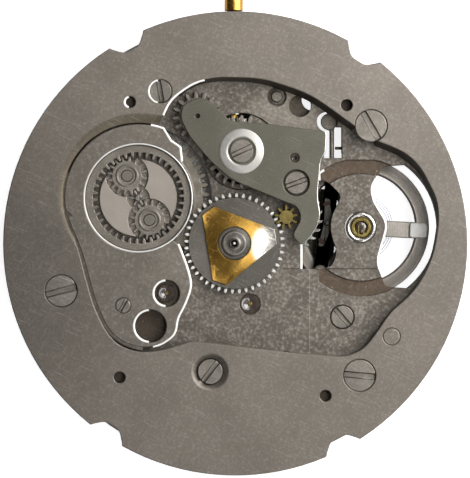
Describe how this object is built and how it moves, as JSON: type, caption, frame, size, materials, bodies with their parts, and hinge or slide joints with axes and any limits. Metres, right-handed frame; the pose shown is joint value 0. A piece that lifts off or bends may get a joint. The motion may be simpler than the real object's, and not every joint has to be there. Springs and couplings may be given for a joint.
{
  "type": "watch movement",
  "caption": "Bare mechanical watch movement, open on its working side, with barrel, differential, wheel train, balance and winding stem.",
  "frame": {"origin": "on the plate's axis, in the plane of the main plate's rear face, where the casing edge starts", "axes": "+Z along the plate's axis towards the open working side, +Y towards the winding stem, +X towards the balance"},
  "size_m": [0.0256, 0.0272, 0.0042],
  "materials": {
    "plate_nickel": "fine satin grain, nickel plated",
    "bridge_grey": "dark grey matte plating",
    "steel_polished": "polished steel",
    "wheel_nickel": "matte, nickel plated",
    "brass": "polished brass",
    "spring_steel": "tempered spring steel",
    "ruby": "polished ruby"
  },
  "bodies": {
    "frame": {"main_plate": "plate_nickel", "outer_plate": "plate_nickel", "barrel_bridge": "plate_nickel", "ring_gear": "wheel_nickel", "train_bridge": "bridge_grey", "crown_washer": "steel_polished", "crown_screw": "steel_polished", "plate_screws": "steel_polished", "bridge_screws": "steel_polished", "front_jewels": "ruby", "balance_setting": "steel_polished", "shock_chaton": "brass", "shock_spring": "brass", "cap_jewel": "ruby", "bridge_stud": "steel_polished", "plate_plug": "plate_nickel", "guide_pin": "plate_nickel", "setting_lever": "plate_nickel", "pallet_bridge": "plate_nickel", "rear_barrel_bridge": "plate_nickel", "rear_train_bridge": "plate_nickel", "balance_cock": "plate_nickel", "rear_screws": "steel_polished", "rear_jewels": "ruby", "hairspring_stud": "steel_polished", "click_spring": "spring_steel"},
    "barrel": {"barrel_drum": "wheel_nickel", "barrel_cover": "wheel_nickel", "mainspring": "spring_steel"},
    "arbor": {"barrel_arbor": "steel_polished", "ratchet_wheel": "steel_polished", "sun_gear": "steel_polished"},
    "carrier": {"planet_carrier": "wheel_nickel"},
    "planet_a": {"planet_gear_a": "steel_polished"},
    "planet_b": {"planet_gear_b": "steel_polished"},
    "crown": {"crown_wheel": "steel_polished"},
    "transfer": {"transfer_wheel": "steel_polished"},
    "stem": {"stem": "brass", "winding_pinion": "steel_polished", "sliding_pinion": "steel_polished"},
    "second": {"second_wheel": "brass"},
    "third": {"third_wheel": "brass"},
    "centre": {"centre_wheel": "wheel_nickel", "friction_spring": "brass", "centre_hub": "steel_polished"},
    "escape": {"escape_wheel": "wheel_nickel", "escape_pinion": "brass"},
    "pallets": {"pallet_fork": "steel_polished", "pallet_stones": "ruby"},
    "balance": {"balance_wheel": "wheel_nickel", "balance_weights": "wheel_nickel", "balance_staff": "steel_polished", "roller": "steel_polished", "hairspring": "spring_steel"},
    "click": {"click": "steel_polished"}
  },
  "joints": [
    {"name": "barrel_turn", "type": "hinge", "parent": "frame", "child": "barrel", "pos_m": [-0.00534, 0.0025, 0], "axis": [0, 0, 1], "continuous": true},
    {"name": "second_turn", "type": "hinge", "parent": "frame", "child": "second", "pos_m": [-0.00379, -0.00274, 0], "axis": [0, 0, 1], "continuous": true},
    {"name": "third_turn", "type": "hinge", "parent": "frame", "child": "third", "pos_m": [0.00081, -0.00335, 0], "axis": [0, 0, 1], "continuous": true},
    {"name": "centre_turn", "type": "hinge", "parent": "frame", "child": "centre", "pos_m": [-0.00005, 0, 0], "axis": [0, 0, 1], "continuous": true},
    {"name": "escape_turn", "type": "hinge", "parent": "frame", "child": "escape", "pos_m": [0.00281, 0.00145, 0], "axis": [0, 0, 1], "continuous": true},
    {"name": "arbor_turn", "type": "hinge", "parent": "frame", "child": "arbor", "pos_m": [-0.00534, 0.0025, 0], "axis": [0, 0, 1], "continuous": true},
    {"name": "transfer_turn", "type": "hinge", "parent": "frame", "child": "transfer", "pos_m": [-0.00208, 0.007, 0], "axis": [0, 0, 1], "continuous": true},
    {"name": "crown_turn", "type": "hinge", "parent": "frame", "child": "crown", "pos_m": [0.00034, 0.00507, 0], "axis": [0, 0, 1], "continuous": true},
    {"name": "stem_turn", "type": "hinge", "parent": "frame", "child": "stem", "pos_m": [-0.00009, 0.008, 0.0014], "axis": [0, 1, 0], "continuous": true},
    {"name": "carrier_turn", "type": "hinge", "parent": "frame", "child": "carrier", "pos_m": [-0.00534, 0.0025, 0], "axis": [0, 0, 1], "continuous": true},
    {"name": "planet_a_turn", "type": "hinge", "parent": "carrier", "child": "planet_a", "pos_m": [-0.00596, 0.00371, 0], "axis": [0, 0, 1], "continuous": true},
    {"name": "planet_b_turn", "type": "hinge", "parent": "carrier", "child": "planet_b", "pos_m": [-0.00472, 0.00129, 0], "axis": [0, 0, 1], "continuous": true},
    {"name": "pallet_rock", "type": "hinge", "parent": "frame", "child": "pallets", "pos_m": [0.00507, 0.00114, 0], "axis": [0, 0, 1], "range_deg": [-5, 5]},
    {"name": "balance_swing", "type": "hinge", "parent": "frame", "child": "balance", "pos_m": [0.00693, 0.00088, 0], "axis": [0, 0, 1], "range_deg": [-270, 270], "deforming": ["hairspring"]},
    {"name": "click_rock", "type": "hinge", "parent": "frame", "child": "click", "pos_m": [-0.0099, -0.0024, 0], "axis": [0, 0, 1], "range_deg": [-8, 8]}
  ],
  "couplings": [
    {"joint": "second_turn", "follows": "barrel_turn", "ratio": -2.2},
    {"joint": "third_turn", "follows": "barrel_turn", "ratio": 14.08},
    {"joint": "centre_turn", "follows": "barrel_turn", "ratio": -84.48},
    {"joint": "escape_turn", "follows": "barrel_turn", "ratio": 413.01},
    {"joint": "transfer_turn", "follows": "arbor_turn", "ratio": -4.6667},
    {"joint": "crown_turn", "follows": "arbor_turn", "ratio": 3.1111},
    {"joint": "stem_turn", "follows": "arbor_turn", "ratio": -7.4667},
    {"joint": "carrier_turn", "follows": "arbor_turn", "ratio": 0.13636},
    {"joint": "planet_a_turn", "follows": "arbor_turn", "ratio": -0.32386},
    {"joint": "planet_b_turn", "follows": "arbor_turn", "ratio": -0.32386}
  ]
}
